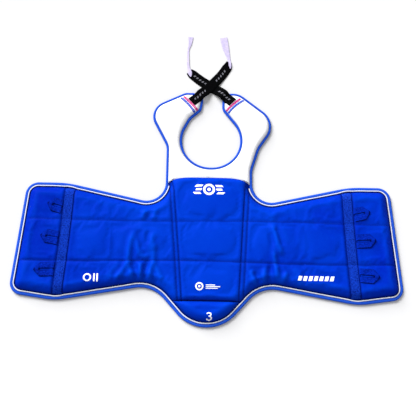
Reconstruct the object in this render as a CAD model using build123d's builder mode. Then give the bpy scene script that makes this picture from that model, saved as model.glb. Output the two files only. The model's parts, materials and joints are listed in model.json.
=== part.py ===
from build123d import *
import os

os.makedirs("parts", exist_ok=True)

# Taekwondo style chest protector, laid flat on its back with the blue front up.
# +X runs across the wings, +Y runs from the belly to the shoulders, +Z points up.
# Lengths are millimetres. Plan sizes are taken from a datum on the centre line, level with
# the wings' outer top corners; the datum stands datum_y from the middle of the whole part.
datum_y = -76.5

# Outline of the body: corners (x, y, fillet radius) from the belly round the wing to the armhole,
# the same on both sides, then over each shoulder to the neck. The shoulders differ a little.
wing_corners = [
    (41.2, -301, 92),
    (129.5, -203.5, 75),
    (358, -243.5, 150),
    (468.5, -227.6, 30),
    (445, 47, 32),
    (347, 47, 250),
]
right_shoulder_corners = [
    (108.5, -6.8, 46.9),
    (107.8, 86, 60),
    (126, 144, 60),
    (173.6, 214.9, 51),
    (74.5, 293, 45),
    (50, 293, 12),
    (32, 280, 8),
    (32, 247, 20),
    (152.4, 93, 71),
]
left_shoulder_corners = [
    (104.5, -6.8, 46.9),
    (105.5, 147, 40),
    (158, 246.6, 42.5),
    (62.6, 293, 25),
    (38, 293, 16),
    (15.5, 276, 9),
    (20.5, 245, 16),
    (47.5, 220.5, 40),
    (112.5, 93, 71),
]

# Fold lines
side_fold_x = 165
end_fold_x = 300
belly_fold_y = -240
shoulder_fold_y = 200
strap_fold_y = 284

# Sections
yoke_seam_y = 62
seam_valley = 4
cloth = 1.2
body_height = 21
yoke_height = 13
flange_top = 5
body_dome_inset = 15
yoke_dome_inset = 8
body_taper = 32
yoke_taper = 25
foam_gap = 0.2
edge_gap = 1
flange_width = 12

# Edge binding and piping
binding_height = 6
binding_width = 10
yoke_binding_width = 6
binding_cloth = 1
piping_width = 3
piping_height = 8.5

# Centre panel seams, from the yoke seam down to the belly seam
panel_half_top = 94
panel_half_bottom = 72

# Webbing tapes on the wings, leaning outwards towards the hem (centre line, right side)
tape_width = 24
tape_thick = 1.4
tape_top = (337.1, 24)
tape_bottom = (351, -220)
tape_lift = 0.1
tape_end_run = 6
tape_end_drop = 7

# Lacing loops: side, root y, tilt in degrees, length
loops = {
    "left_upper": (-1, -20, 16, 38),
    "left_middle": (-1, -97, 10, 44),
    "left_lower": (-1, -172, -2, 49),
    "right_upper": (1, -28, 12, 41),
    "right_middle": (1, -93, 4, 48),
    "right_lower": (1, -175, -4, 48),
}
loop_width = 35
loop_tip = 15
loop_slit = 5.6
loop_slit_start = 5
loop_slit_end = 14
loop_thick = 2.4
loop_lift = 0.4
loop_gap = 0.4

# Elastic straps: centre line in plan, and height of the underside against distance along
strap_width = 26
strap_thick = 1.6
straps = {
    "left": (
        [(-41.5, 269), (-10, 300), (28, 342), (48, 381)],
        [(-30, 13), (23, 13), (47, 2), (82, 2), (104, 0), (220, 0)],
    ),
    "right": (
        [(53.5, 269), (24, 297), (-22, 326), (-53, 354)],
        [(-30, 13), (27, 13), (50, 0), (220, 0)],
    ),
}

# Cotton ties: rows of (y, centre x, half width), each tie starts just past its strap
tie_thick = 1
tie_gap = 0.3
ties = {
    "left": [(376, 50, 3), (384, 49.5, 3), (402, 45, 5.5), (428, 38, 8.5), (454, 33.5, 9.5)],
    "right": [(350, -53, 5), (362, -55, 4), (382, -58, 3), (414, -58, 2.5), (434, -53.5, 4.5), (454, -52.5, 7)],
}

# Woven stripes across the shoulder tips: (start, end)
stripe_width = 4.4
stripe_thick = 0.6
stripes = {
    "red_stripe_left": ((-67.5, 276.5), (-38.5, 248.5)),
    "blue_stripe_left": ((-76, 271), (-45, 243)),
    "red_stripe_right": ((73.5, 275.5), (48, 250.5)),
    "blue_stripe_right": ((80.5, 269.5), (54, 245.5)),
}

# Zones of the rigid bodies in plan: (x low, y low, x high, y high)
far = 600
zones = {
    "chest": (-side_fold_x, belly_fold_y, side_fold_x, shoulder_fold_y),
    "side_left": (-end_fold_x, belly_fold_y - 30, -side_fold_x, far),
    "side_right": (side_fold_x, belly_fold_y - 30, end_fold_x, far),
    "end_left": (-far, -far, -end_fold_x, far),
    "end_right": (end_fold_x, -far, far, far),
    "belly": (-side_fold_x + 5, -far, side_fold_x - 5, belly_fold_y),
    "shoulder_left": (-side_fold_x, shoulder_fold_y, 0, far),
    "shoulder_right": (0, shoulder_fold_y, side_fold_x, far),
}
blue_zones = ["chest", "side_left", "side_right", "end_left", "end_right", "belly"]
piece_count = 0


def level(z):
    """Horizontal sketch plane at height z, with its origin on the plan datum."""
    return Plane((0, datum_y, z))


def keep(part, name):
    """Label a finished piece and write it out."""
    global piece_count
    part.label = name
    export_step(part, f"parts/{name}.step")
    piece_count += 1


def box_sketch(x_low, y_low, x_high, y_high):
    """Rectangle between two corners, in the current sketch."""
    with Locations(((x_low + x_high) / 2, (y_low + y_high) / 2)):
        return Rectangle(x_high - x_low, y_high - y_low, mode=Mode.PRIVATE)


# The whole outline as one face
right_corners = wing_corners + right_shoulder_corners
left_corners = [(-x, y, radius) for x, y, radius in wing_corners + left_shoulder_corners]
with BuildSketch() as outline:
    with BuildLine():
        FilletPolyline(
            *[(x, y) for x, y, radius in right_corners],
            *[(x, y) for x, y, radius in reversed(left_corners)],
            radius=[radius for x, y, radius in right_corners + left_corners[::-1]],
            close=True,
        )
    make_face()


def inset(amount, y_low=-far, y_high=far):
    """The outline moved inwards by an amount, kept between two heights on the body."""
    with BuildSketch() as inner:
        add(outline.sketch)
        if amount > 0:
            offset(amount=-amount, kind=Kind.INTERSECTION)
        with Locations((0, (y_low + y_high) / 2)):
            Rectangle(2 * far, y_high - y_low, mode=Mode.INTERSECT)
    return inner.sketch


def slab(sketch, bottom, top, taper=0):
    """A plan sketch raised between two heights, its sides leaning inwards by the taper."""
    with BuildPart() as block:
        with BuildSketch(level(bottom)):
            add(sketch)
        extrude(amount=top - bottom, taper=taper)
    return block.part


def padded_fields(shrink):
    """The raised fields of the front: belly, main body, and yoke with the shoulders."""
    valley = seam_valley / 2 + shrink
    bottom = flange_top - cloth
    body_inset = body_dome_inset + shrink
    yoke_inset = yoke_dome_inset + shrink
    body_top = body_height - shrink
    with BuildPart() as padded:
        add(slab(inset(body_inset, -far, belly_fold_y - valley), bottom, body_top, body_taper))
        add(slab(inset(body_inset, belly_fold_y + valley, yoke_seam_y - valley), bottom, body_top, body_taper))
        add(slab(inset(yoke_inset, yoke_seam_y + valley, far), bottom, yoke_height - shrink, yoke_taper))
    return padded.part


def ring(outer_inset, inner_inset, y_low, y_high):
    """Plan band between two insets of the outline."""
    with BuildSketch() as band:
        add(inset(outer_inset, y_low, y_high))
        add(inset(inner_inset, y_low, y_high), mode=Mode.SUBTRACT)
    return band.sketch


# Front cover: a flange sheet with the raised fields, hollow below
with BuildPart() as front_shell:
    add(slab(inset(edge_gap), flange_top - cloth, flange_top))
    add(padded_fields(0))
    add(padded_fields(cloth), mode=Mode.SUBTRACT)

# Rear cover: a flat sheet that steps up over the binding's lower leg
with BuildPart() as rear_shell:
    add(slab(ring(edge_gap, flange_width, -far, far), binding_cloth, 2 * binding_cloth))
    add(slab(inset(flange_width - edge_gap), 0, cloth))

# Foam: a thin edge sheet with a thick block in each raised field
with BuildPart() as foam:
    add(slab(inset(2 * edge_gap), 2 * binding_cloth, flange_top - cloth))
    add(slab(inset(flange_width), cloth, flange_top - cloth))
    add(padded_fields(cloth + foam_gap))

# Binding folded round the raw edge, narrower on the yoke, and the piping inside it
with BuildPart() as binding:
    add(slab(ring(0, edge_gap, -far, far), 0, binding_height))
    for leg_z in (0, binding_height - binding_cloth):
        add(slab(ring(0, binding_width, -far, yoke_seam_y), leg_z, leg_z + binding_cloth))
        add(slab(ring(0, yoke_binding_width, yoke_seam_y, far), leg_z, leg_z + binding_cloth))
with BuildPart() as piping:
    piping_inset = binding_width + piping_width
    add(slab(ring(binding_width, piping_inset, -far, yoke_seam_y), flange_top, piping_height))


def zone_box(corners):
    """Tall block over one zone of the plan."""
    x_low, y_low, x_high, y_high = corners
    with BuildSketch() as area:
        with Locations(((x_low + x_high) / 2, (y_low + y_high) / 2)):
            Rectangle(x_high - x_low, y_high - y_low)
    return slab(area.sketch, -far / 2, far / 2)


zone_blocks = {name: zone_box(corners) for name, corners in zones.items()}
yoke_block = zone_box((-side_fold_x, yoke_seam_y, side_fold_x, shoulder_fold_y))

# Centre panel of the front, tapering to the belly
with BuildSketch() as panel_area:
    with BuildLine():
        Polyline(
            (panel_half_top, yoke_seam_y),
            (panel_half_bottom, belly_fold_y),
            (-panel_half_bottom, belly_fold_y),
            (-panel_half_top, yoke_seam_y),
            close=True,
        )
    make_face()
panel_block = slab(panel_area.sketch, -far / 2, far / 2)

# Layers of every zone, cut from the whole layers at the fold lines
for zone, block in zone_blocks.items():
    with BuildPart() as rear_cover:
        add(rear_shell.part)
        add(block, mode=Mode.INTERSECT)
    keep(rear_cover.part, f"rear_cover_{zone}")

    with BuildPart() as edge_binding:
        add(binding.part)
        add(block, mode=Mode.INTERSECT)
    keep(edge_binding.part, f"edge_binding_{zone}")

    with BuildPart() as foam_core:
        add(foam.part)
        add(block, mode=Mode.INTERSECT)
        if zone == "chest":
            add(yoke_block, mode=Mode.SUBTRACT)
    keep(foam_core.part, f"foam_core_{zone}")

    if zone in blue_zones:
        with BuildPart() as white_piping:
            add(piping.part)
            add(block, mode=Mode.INTERSECT)
        keep(white_piping.part, f"white_piping_{zone}")

    if zone != "chest":
        with BuildPart() as front_cover:
            add(front_shell.part)
            add(block, mode=Mode.INTERSECT)
        keep(front_cover.part, f"front_cover_{zone}")

with BuildPart() as foam_core_yoke:
    add(foam.part)
    add(yoke_block, mode=Mode.INTERSECT)
keep(foam_core_yoke.part, "foam_core_yoke")

# The chest's front is sewn from a yoke, a centre panel and two flank panels
with BuildPart() as yoke_cover:
    add(front_shell.part)
    add(yoke_block, mode=Mode.INTERSECT)
keep(yoke_cover.part, "front_cover_yoke")

with BuildPart() as centre_panel:
    add(front_shell.part)
    add(panel_block, mode=Mode.INTERSECT)
keep(centre_panel.part, "front_panel_centre")

for side, name in ((-1, "left"), (1, "right")):
    with BuildPart() as flank_panel:
        add(front_shell.part)
        add(zone_blocks["chest"], mode=Mode.INTERSECT)
        add(yoke_block, mode=Mode.SUBTRACT)
        add(panel_block, mode=Mode.SUBTRACT)
        split(bisect_by=Plane.YZ, keep=Keep.TOP if side > 0 else Keep.BOTTOM)
    keep(flank_panel.part, f"front_panel_flank_{name}")


def band_over(sketch, profile, axis_plane, thick, reach):
    """A plan sketch bent to a height profile: the strip's underside follows the profile."""
    with BuildPart() as strip:
        with BuildSketch(level(0)):
            add(sketch)
        extrude(amount=far / 10)
        with BuildSketch(axis_plane):
            with BuildLine():
                Polyline(
                    *profile,
                    *[(run, height + thick) for run, height in reversed(profile)],
                    close=True,
                )
            make_face()
        extrude(amount=reach, both=True, mode=Mode.INTERSECT)
    return strip.part


def upright_plane(start, end):
    """Vertical plane through two plan points, its x axis along the line between them."""
    run = Vector(end[0] - start[0], end[1] - start[1], 0)
    origin = (start[0], start[1] + datum_y, 0)
    return Plane(origin=origin, x_dir=run, z_dir=run.cross(Vector(0, 0, 1)))


# Tapes: flat on the raised field, their ends turning down over its shoulders
tape_run = Vector(tape_bottom[0] - tape_top[0], tape_bottom[1] - tape_top[1], 0)
tape_base = body_height + tape_lift
tape_profile = [
    (-tape_end_run, tape_base - tape_end_drop),
    (0, tape_base),
    (tape_run.length, tape_base),
    (tape_run.length + tape_end_run, tape_base - tape_end_drop),
]
for side, name in ((-1, "left"), (1, "right")):
    top = (side * tape_top[0], tape_top[1])
    bottom = (side * tape_bottom[0], tape_bottom[1])
    with BuildSketch() as tape_area:
        with BuildLine() as tape_line:
            Line(
                Vector(*top) - Vector(side * tape_run.X, tape_run.Y).normalized() * tape_end_run,
                Vector(*bottom) + Vector(side * tape_run.X, tape_run.Y).normalized() * tape_end_run,
            )
        trace(line_width=tape_width)
    with BuildPart() as tape:
        add(band_over(tape_area.sketch, tape_profile, upright_plane(top, bottom), tape_thick, tape_width))
    keep(tape.part, f"webbing_tape_{name}")

# Lacing loops: webbing folded to a pointed end with a slit, lying outwards from the tape's edge
loop_base = body_height + loop_lift
edge_slope = (tape_bottom[0] - tape_top[0]) / (tape_bottom[1] - tape_top[1])


def loop_edge_x(y):
    """Distance from the centre line to the loops' hinge line, just outside the tape."""
    return tape_top[0] + tape_width / 2 + loop_gap + (y - tape_top[1]) * edge_slope


with BuildSketch() as inboard_area:
    with BuildLine():
        Polyline(
            (-loop_edge_x(-far), -far),
            (loop_edge_x(-far), -far),
            (loop_edge_x(far), far),
            (-loop_edge_x(far), far),
            close=True,
        )
    make_face()
inboard_block = slab(inboard_area.sketch, -far / 2, far / 2)

for name, (side, root_y, tilt, length) in loops.items():
    outward = Vector(side, 0, 0).rotate(Axis.Z, side * tilt)
    loop_plane = Plane((side * loop_edge_x(root_y), root_y + datum_y, loop_base), x_dir=outward)
    with BuildPart() as loop:
        with BuildSketch(loop_plane):
            with BuildLine():
                Polyline(
                    (-loop_width / 2, -loop_width / 2),
                    (length - loop_tip, -loop_width / 2),
                    (length, 0),
                    (length - loop_tip, loop_width / 2),
                    (-loop_width / 2, loop_width / 2),
                    close=True,
                )
            make_face()
            with Locations(((loop_slit_start + length - loop_slit_end) / 2, 0)):
                Rectangle(length - loop_slit_end - loop_slit_start, loop_slit, mode=Mode.SUBTRACT)
        extrude(amount=loop_thick)
        add(inboard_block, mode=Mode.SUBTRACT)
    keep(loop.part, f"lacing_loop_{name}")

# Elastic straps, crossed above the neck: the end sewn on the shoulder tip and the free length
sewn_block = zone_box((-far, -far, far, strap_fold_y))
for name, (line, profile) in straps.items():
    with BuildSketch() as strap_area:
        with BuildLine():
            Spline(*line)
        trace(line_width=strap_width)
    strap = band_over(strap_area.sketch, profile, upright_plane(line[0], line[-1]), strap_thick, 2 * strap_width)
    with BuildPart() as strap_end:
        add(strap)
        add(sewn_block, mode=Mode.INTERSECT)
    keep(strap_end.part, f"strap_sewn_end_{name}")
    with BuildPart() as free_strap:
        add(strap)
        add(sewn_block, mode=Mode.SUBTRACT)
    keep(free_strap.part, f"elastic_strap_{name}")

    with BuildSketch() as tie_area:
        with BuildLine():
            Polyline(
                *[(x - half, y) for y, x, half in ties[name]],
                *[(x + half, y) for y, x, half in reversed(ties[name])],
                close=True,
            )
        make_face()
        with BuildLine():
            Spline(*line)
        trace(line_width=strap_width + 2 * tie_gap, mode=Mode.SUBTRACT)
    with BuildPart() as tie:
        add(slab(tie_area.sketch, 0, tie_thick))
    keep(tie.part, f"cotton_tie_{name}")

# Woven stripes across the shoulder tips
for name, (start, end) in stripes.items():
    with BuildSketch() as stripe_area:
        with BuildLine():
            Line(start, end)
        trace(line_width=stripe_width)
    with BuildPart() as woven_stripe:
        add(slab(stripe_area.sketch, yoke_height, yoke_height + stripe_thick))
    keep(woven_stripe.part, name)

print("pieces written:", piece_count)
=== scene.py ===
import json
import math
import bmesh
import bpy
import numpy as np
from mathutils import Matrix, Vector, geometry, kdtree
from mathutils.bvhtree import BVHTree

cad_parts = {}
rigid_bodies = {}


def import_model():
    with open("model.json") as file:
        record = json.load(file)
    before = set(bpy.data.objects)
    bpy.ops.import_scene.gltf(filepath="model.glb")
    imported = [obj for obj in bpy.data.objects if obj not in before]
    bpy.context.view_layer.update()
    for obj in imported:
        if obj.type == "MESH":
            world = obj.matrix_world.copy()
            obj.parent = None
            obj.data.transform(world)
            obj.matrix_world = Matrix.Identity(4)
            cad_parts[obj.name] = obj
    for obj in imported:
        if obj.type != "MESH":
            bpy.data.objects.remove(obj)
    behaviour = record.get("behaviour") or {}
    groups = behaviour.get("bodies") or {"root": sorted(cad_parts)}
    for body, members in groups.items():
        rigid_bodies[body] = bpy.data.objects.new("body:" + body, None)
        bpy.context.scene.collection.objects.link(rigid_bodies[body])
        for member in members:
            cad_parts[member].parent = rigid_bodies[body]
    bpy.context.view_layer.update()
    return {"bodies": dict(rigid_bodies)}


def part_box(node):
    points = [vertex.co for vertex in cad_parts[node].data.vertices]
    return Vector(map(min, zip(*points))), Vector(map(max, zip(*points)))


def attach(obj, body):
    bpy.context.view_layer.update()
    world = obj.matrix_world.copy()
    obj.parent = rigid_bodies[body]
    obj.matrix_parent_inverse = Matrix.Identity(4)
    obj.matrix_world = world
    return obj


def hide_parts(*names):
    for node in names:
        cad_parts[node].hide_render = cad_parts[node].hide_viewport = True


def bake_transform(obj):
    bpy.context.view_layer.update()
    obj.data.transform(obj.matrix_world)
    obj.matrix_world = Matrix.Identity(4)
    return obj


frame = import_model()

mm = 0.001
scene = bpy.context.scene

# Plan shape in millimetres, y counted from the level of the wings' top corners
body = {
    "tip": -301,
    "wing": [                # x, y and fillet radius of each corner, from the belly to the top of the wing
        (41.2, -301, 92), (129.5, -203.5, 75), (358, -243.5, 150), (468.5, -227.6, 30),
        (445, 47, 32), (347, 47, 250),
    ],
    "rightShoulder": [       # from the armhole over the shoulder to the base of the neck
        (108.5, -6.8, 46.9), (107.8, 86, 60), (126, 144, 60), (173.6, 214.9, 51), (74.5, 293, 45),
        (50, 293, 12), (32, 280, 8), (32, 247, 20), (152.4, 93, 71),
    ],
    "leftShoulder": [
        (104.5, -6.8, 46.9), (105.5, 147, 40), (158, 246.6, 42.5), (62.6, 293, 25), (38, 293, 16),
        (15.5, 276, 9), (20.5, 245, 16), (47.5, 220.5, 40), (112.5, 93, 71),
    ],
    "neck": (4, 164, 80),    # middle of the neck opening, and how far from it the hem belongs to the neck
    "yokeSeam": 64,          # top of the blue front on the centre line
    "yokeSeamDrop": 12,      # how far its ends hang at the armholes
    "yokeHalf": 97,
    "bellySeam": -240,
    "bellyHalf": 112,
    "wingSplit": 232,        # where the side pads end and the wings' ends begin
    "shoulder": 150,
    "allowance": 3,          # distance from the cut edge to the pads' own edge, inside the binding
}
folds = {                    # bending zones, from the first body to the second
    "side": (120, 210),
    "end": (255, 345),
    "belly": (-240, -262),
    "shoulder": (165, 235),
    "strap": (276, 292),
}
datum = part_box("edge_binding_belly")[0].y - body["tip"] * mm
print("stage: frame loaded")

bleached = 0.66          # the light burns out the whites, so every other colour is held down by this


def tone(red, green, blue, held=bleached):          # a colour given as screen values from 0 to 255
    share = np.array([red, green, blue]) / 255
    linear = np.where(share <= 0.04045, share / 12.92, ((share + 0.055) / 1.055) ** 2.4)
    return (*[float(value) for value in linear * held], 1)


def eased(t):
    t = np.clip(t, 0, 1)
    return t * t * (3 - 2 * t)


def domed(t):                        # steep at first, like the rounded side of a foam board
    t = np.clip(t, 0, 1)
    return (1 - (1 - t) ** 2.4) ** 0.62


def lengthsAlong(line):              # distance walked at each point of a line
    return np.concatenate([[0], np.cumsum(np.linalg.norm(np.diff(line, axis=0), axis=1))])


def findable(points):                # a tree that finds the nearest of these plan points
    tree = kdtree.KDTree(len(points))
    for number, point in enumerate(points):
        tree.insert((point[0], point[1], 0), number)
    tree.balance()
    return tree


def triangulated(points, links, close):      # triangles between plan points, with every link as an edge
    corners, _, faces, *_ = geometry.delaunay_2d_cdt([Vector(p) for p in points], links, [], 1, close)
    return np.array([tuple(corner) for corner in corners]), np.array([tuple(face) for face in faces])


def faceUp(corners, faces, smallest):        # the triangles turned one way round, without slivers
    a, b, c = (corners[faces[:, k]] for k in range(3))
    area = (b - a)[:, 0] * (c - a)[:, 1] - (b - a)[:, 1] * (c - a)[:, 0]
    faces[area < 0] = faces[area < 0][:, ::-1]
    return faces[np.abs(area) > smallest]


def spaced(points, step):            # the same line, walked in even steps
    points = np.asarray(points, float)
    lengths = np.hypot(*np.diff(points[:, :2], axis=0).T)
    along = np.concatenate([[0], np.cumsum(lengths)])
    count = max(2, int(round(along[-1] / step)) + 1)
    stops = np.linspace(0, along[-1], count)
    return np.stack([np.interp(stops, along, column) for column in points.T], axis=1)


def curved(points, step):            # a smooth line through a few points
    points = np.asarray(points, float)
    ends = np.vstack([2 * points[0] - points[1], points, 2 * points[-1] - points[-2]])
    line = []
    for k in range(1, len(ends) - 2):
        a, b, c, d = ends[k - 1:k + 3]
        for t in np.linspace(0, 1, 13)[:-1]:
            line.append(0.5 * (2 * b + (c - a) * t + (2 * a - 5 * b + 4 * c - d) * t ** 2
                               + (3 * b - a - 3 * c + d) * t ** 3))
    return spaced(np.vstack([line, points[-1]]), step)


# Camera, light and floor
view = {"elevation": 74, "distance": 1.8, "roll": 1.0, "lens": 63.58}
studio = {
    "keyFrom": (-0.62, 0.8, 0.62), "keySpread": 40, "keyPower": 7.3,   # a broad light from the upper left
    "fillPlace": (0.5, -1.2, 2.2), "fillSize": 2.4, "fillPower": 4,
    "sky": 0.66,
}


def placeCamera():
    raised, lean = math.radians(view["elevation"]), math.radians(view["roll"])
    back = Vector((0, -math.cos(raised), math.sin(raised)))
    right = Vector((1, 0, 0))
    up = back.cross(right)
    across = right * math.cos(lean) + up * math.sin(lean)
    upward = up * math.cos(lean) - right * math.sin(lean)
    camera = bpy.data.objects.new("camera", bpy.data.cameras.new("camera"))
    camera.data.lens = view["lens"]
    camera.data.sensor_width = 36
    place = Vector((0, datum, 0)) + back * view["distance"]
    camera.matrix_world = Matrix.Translation(place) @ Matrix((across, upward, back)).transposed().to_4x4()
    scene.collection.objects.link(camera)
    scene.camera = camera


def hangLight(name, kind, place, power):
    light = bpy.data.lights.new(name, kind)
    light.energy = power
    lamp = bpy.data.objects.new(name, light)
    lamp.location = place
    lamp.rotation_euler = (Vector((0, datum, 0)) - Vector(place)).to_track_quat("-Z", "Y").to_euler()
    scene.collection.objects.link(lamp)
    return light


def lightRoom():
    key = hangLight("keyLight", "SUN", Vector(studio["keyFrom"]) + Vector((0, datum, 0)), studio["keyPower"])
    key.angle = math.radians(studio["keySpread"])
    fill = hangLight("fillLight", "AREA", studio["fillPlace"], studio["fillPower"])
    fill.shape = "DISK"
    fill.size = studio["fillSize"]
    world = bpy.data.worlds.new("paleRoom")
    world.use_nodes = True
    world.node_tree.nodes["Background"].inputs["Color"].default_value = (1, 1, 1, 1)
    world.node_tree.nodes["Background"].inputs["Strength"].default_value = studio["sky"]
    scene.world = world
    scene.view_settings.view_transform = "Standard"


placeCamera()
lightRoom()
print("stage: camera and light")


# Shader maths: a socket that takes part in Python expressions
class Wire:
    def __init__(self, tree, socket):
        self.tree = tree
        self.socket = socket

    def maths(self, operation, *values):
        node = self.tree.nodes.new("ShaderNodeMath")
        node.operation = operation
        for place, value in enumerate(values):
            plug(self.tree, node.inputs[place], value)
        return Wire(self.tree, node.outputs[0])

    def __add__(self, other):
        return self.maths("ADD", self, other)

    def __sub__(self, other):
        return self.maths("SUBTRACT", self, other)

    def __rsub__(self, other):
        return self.maths("SUBTRACT", other, self)

    def __mul__(self, other):
        return self.maths("MULTIPLY", self, other)

    def __truediv__(self, other):
        return self.maths("DIVIDE", self, other)

    def __pow__(self, other):
        return self.maths("POWER", self, other)

    def __gt__(self, other):
        return self.maths("GREATER_THAN", self, other)

    def __lt__(self, other):
        return self.maths("LESS_THAN", self, other)

    __radd__ = __add__
    __rmul__ = __mul__

    def sine(self):
        return self.maths("SINE", self)

    def waves(self, pitch):              # from 0 to 1 and back once in each pitch
        return (self * (2 * math.pi / pitch)).sine() * 0.5 + 0.5

    def size(self):
        return self.maths("ABSOLUTE", self)

    def kept(self, low=0, high=1):
        return self.maths("MINIMUM", self.maths("MAXIMUM", self, low), high)

    def wrapped(self, period):
        return self.maths("FLOORED_MODULO", self, period)


def plug(tree, socket, value):
    if isinstance(value, Wire):
        tree.links.new(value.socket, socket)
    else:
        socket.default_value = value


class Finish:
    def __init__(self, name, fixed):
        self.material = bpy.data.materials.new(name)
        self.material.use_nodes = True
        self.tree = self.material.node_tree
        self.shader = self.tree.nodes["Principled BSDF"]
        for socket, value in fixed.items():
            self.shader.inputs[socket].default_value = value

    def node(self, kind, settings, sockets, output=0):
        made = self.tree.nodes.new("ShaderNode" + kind)
        for setting, value in settings.items():
            setattr(made, setting, value)
        for socket, value in sockets.items():
            plug(self.tree, made.inputs[socket], value)
        return Wire(self.tree, made.outputs[output])

    def place(self, scale=(1, 1, 1)):        # where a point was on the cut cloth, in mm times scale
        cut = self.node("UVMap", {"uv_map": "cut"}, {})
        return self.node("VectorMath", {"operation": "MULTIPLY"}, {0: cut, 1: scale})

    def across(self, axis):
        return self.node("SeparateXYZ", {}, {0: self.place()}, axis)

    def cloud(self, scale, detail=2, rough=0.5, shift=0):
        spot = self.node("VectorMath", {"operation": "ADD"}, {0: self.place(), 1: (shift, shift * 1.7, 0)})
        return self.node("TexNoise", {"noise_dimensions": "2D"},
                         {"Vector": spot, "Scale": scale, "Detail": detail, "Roughness": rough})

    def worn(self, name):
        return self.node("Attribute", {"attribute_name": name}, {}, 2)

    def mixed(self, share, first, second):
        return self.node("Mix", {"data_type": "RGBA"}, {0: share, 6: first, 7: second}, 2)

    def finished(self, colour, rough, height=None, depth=0.0003, strength=1.0):
        plug(self.tree, self.shader.inputs["Base Color"], colour)
        plug(self.tree, self.shader.inputs["Roughness"], rough)
        if height is not None:
            bump = self.node("Bump", {}, {"Strength": strength, "Distance": depth, "Height": height})
            plug(self.tree, self.shader.inputs["Normal"], bump)
        return self.material


def leather(name, deep, bright, folded, rubbed, gloss, specular):
    make = Finish(name, {"Specular IOR Level": specular})
    patch = (make.cloud(0.009, 2, 0.5) - 0.5) * 1.6 + 0.95
    patch = patch - ((make.across(0).size() - 90) / 330).kept() * 0.75
    pebble = make.node("TexVoronoi", {"voronoi_dimensions": "2D", "feature": "DISTANCE_TO_EDGE"},
                       {"Vector": make.place(), "Scale": 0.95, "Randomness": 1.0})
    fine = make.cloud(1.7, 3, 0.6, 31)
    mottle = make.cloud(0.12, 3, 0.6, 77)
    colour = make.mixed(patch.kept(), deep, bright)
    colour = make.mixed((mottle - 0.45).kept() * 0.4, colour, rubbed)
    colour = make.mixed((0.16 - pebble).kept() * 1.6, colour, folded)
    colour = make.mixed(make.worn("rub") * 0.55, colour, rubbed)
    # painted shade: mixed towards the dark folded colour where the paintedShade mark is high
    colour = make.mixed(make.worn("paintedShade") * 0.75, colour, folded)
    rough = gloss + (mottle - 0.5) * 0.16 + (fine - 0.5) * 0.1 - make.worn("rub") * 0.08
    height = pebble.kept(0, 0.35) * 1.9 + fine * 0.35
    return make.finished(colour, rough.kept(0.2, 0.9), height, 0.00022, 0.55)


def grosgrain(name, light, middle, dark, pitch):
    make = Finish(name, {"Specular IOR Level": 0.04})
    along = make.across(0) + (make.cloud(0.25, 2, 0.5) - 0.5) * 1.4
    rib = along.waves(pitch)
    thread = make.across(1).waves(0.55)
    drift = make.cloud(0.06, 3, 0.6, 13)
    colour = make.mixed((rib ** 1.4).kept(), dark, light)
    colour = make.mixed((drift - 0.28).kept() * 1.3, colour, middle)
    colour = make.mixed(thread * 0.18, colour, dark)
    return make.finished(colour, 0.62 + rib * 0.12, rib * 0.8 + thread * 0.25, 0.00028, 0.8)


def vinyl(name, base, shaded, gloss):
    make = Finish(name, {"Specular IOR Level": 0.35})
    grain = make.cloud(0.9, 3, 0.6)
    grime = make.cloud(0.05, 3, 0.65, 9)
    colour = make.mixed((grime - 0.52).kept() * 1.8, base, shaded)
    ring = make.across(0).waves(3.4)
    return make.finished(colour, gloss + grain * 0.15, grain + ring * 0.12, 0.00012, 0.5)


def webbing(name, light, dark, edge, half, pitch=1.5, speckle=0.5, specular=0.12):
    make = Finish(name, {"Specular IOR Level": specular})
    along, side = make.across(0), make.across(1)
    slant = (along + side * 1.15).waves(pitch)
    weft = side.waves(0.9)
    fleck = make.cloud(0.36, 4, 0.8, 5)
    drift = make.cloud(0.05, 2, 0.5, 40)
    mix = slant * 0.38 + weft * 0.14 + (fleck - 0.4) * speckle * 2.4 + (drift - 0.5) * 0.5
    colour = make.mixed(mix.kept(), dark, light)
    # painted shadow: the last 1.9 mm at both long edges is mixed towards the dark edge colour
    rim = ((side.size() - (half - 1.9)) / 1.2).kept()
    colour = make.mixed(rim * 0.85, colour, edge)
    # painted shade: darkened where the paintedShade mark is high, at the loops' edges and along their slit
    colour = make.mixed((make.worn("paintedShade") * 1.5 - 0.3).kept(), colour, tone(0, 8, 70))
    return make.finished(colour, 0.7 + slant * 0.12, slant * 0.7 + weft * 0.5 + fleck * 0.5, 0.00035, 0.9)


# Dashes printed along the elastic in slanted groups: each group's place and each dash's in its pitch
dashes = {
    "period": 76, "groupFrom": 8, "groupTo": 52,
    "pitch": 8.6, "from": 1.8, "to": 6, "half": 2.3, "slant": 0.5,
}


def elastic(name, base, ridge, mark):
    make = Finish(name, {"Specular IOR Level": 0.01})
    along, side = make.across(0), make.across(1)
    cord = side.waves(1.9)
    weft = along.waves(0.8)
    fluff = make.cloud(1.3, 4, 0.7)
    colour = make.mixed((cord * 0.5 + weft * 0.2 + (fluff - 0.5) * 0.8).kept(), base, ridge)
    slanted = along + side * dashes["slant"]
    step, turn = slanted.wrapped(dashes["pitch"]), slanted.wrapped(dashes["period"])
    group = (turn > dashes["groupFrom"]) * (turn < dashes["groupTo"])
    dash = (step > dashes["from"]) * (step < dashes["to"]) * (side.size() < dashes["half"])
    ink = (dash * group).kept() * (0.45 + fluff * 0.5).kept()
    colour = make.mixed(ink, colour, mark)
    return make.finished(colour, 0.72 + cord * 0.1, cord + weft * 0.45 + fluff * 0.3, 0.0003, 0.8)


def cotton(name, light, dark, pitch=0.8):
    make = Finish(name, {"Specular IOR Level": 0.12, "Sheen Weight": 0.1})
    along, side = make.across(0), make.across(1)
    twill = (along + side).waves(pitch)
    rows = side.waves(0.7)
    soft = make.cloud(0.12, 3, 0.6)
    colour = make.mixed((twill * 0.35 + rows * 0.2 + (soft - 0.4) * 1.4).kept(), dark, light)
    return make.finished(colour, 0.82 + soft * 0.08, twill * 0.6 + rows * 0.4 + soft * 0.5, 0.00025, 0.8)


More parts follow.
